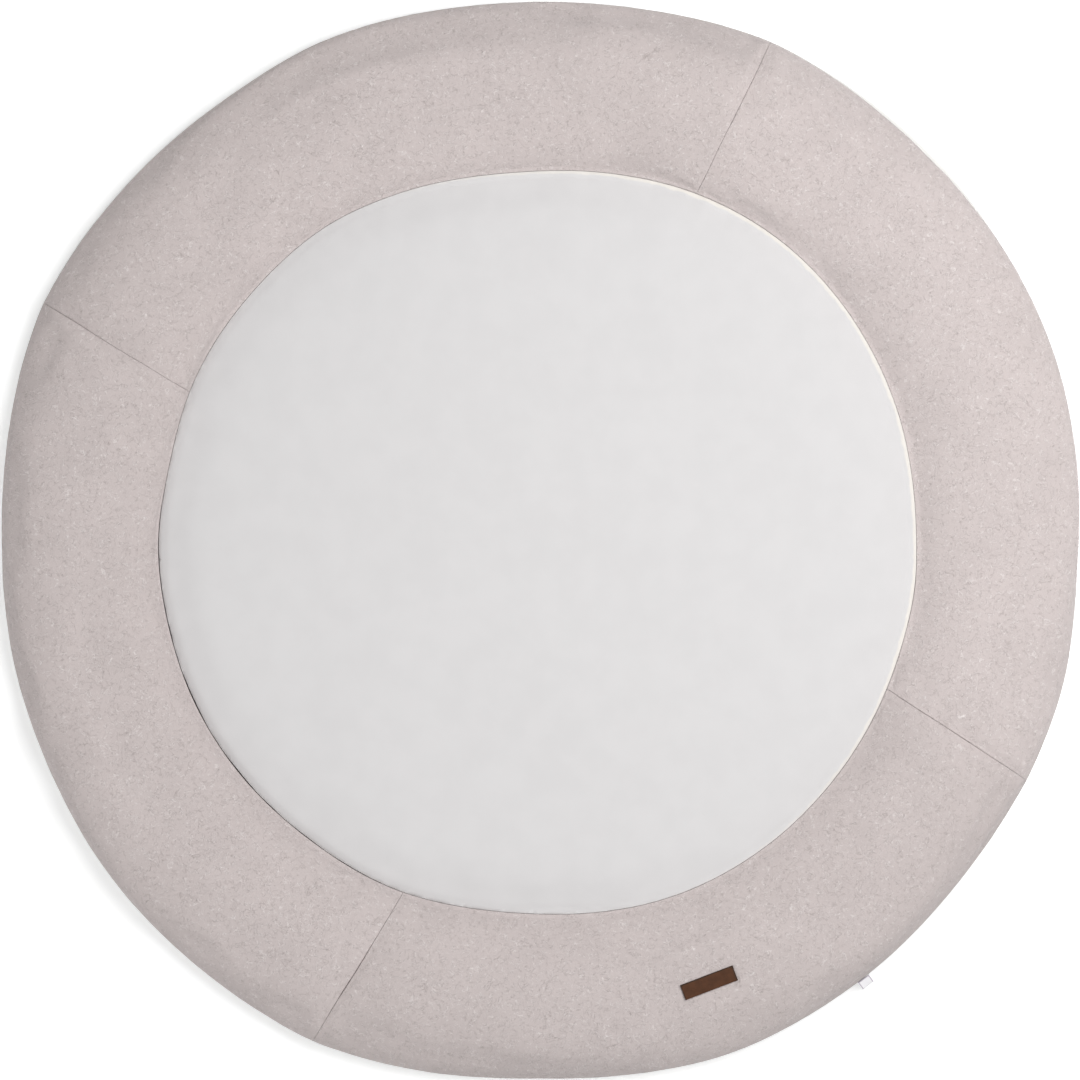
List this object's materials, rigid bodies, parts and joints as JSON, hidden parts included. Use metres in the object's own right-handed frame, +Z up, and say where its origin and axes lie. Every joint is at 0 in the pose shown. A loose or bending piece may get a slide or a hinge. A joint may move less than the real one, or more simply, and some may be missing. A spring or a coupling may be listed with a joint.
{
  "type": "knitted playpen mat",
  "caption": "Round padded playpen mat: smooth white jersey centre, thick knitted border in sewn panels, white cotton backing, small leather tag and folded care label.",
  "frame": {"origin": "middle of the mat's outline, on the surface that it lies on", "axes": "+Z up out of the padded face, +X to the right and +Y to the top of the mat as seen from above with the leather tag at the lower right"},
  "size_m": [0.952, 0.9521, 0.048],
  "materials": {
    "knit": "matte marled knit",
    "jersey": "matte smooth jersey",
    "cotton": "matte woven cotton",
    "leather": "smooth brown with a dark edge",
    "satin": "satin ribbon"
  },
  "bodies": {
    "root": {"backing": "cotton", "centre_pad": "jersey", "border_right": "knit", "border_top": "knit", "border_left": "knit", "border_bottom": "knit", "leather_tag": "leather", "care_label": "satin"}
  },
  "joints": []
}
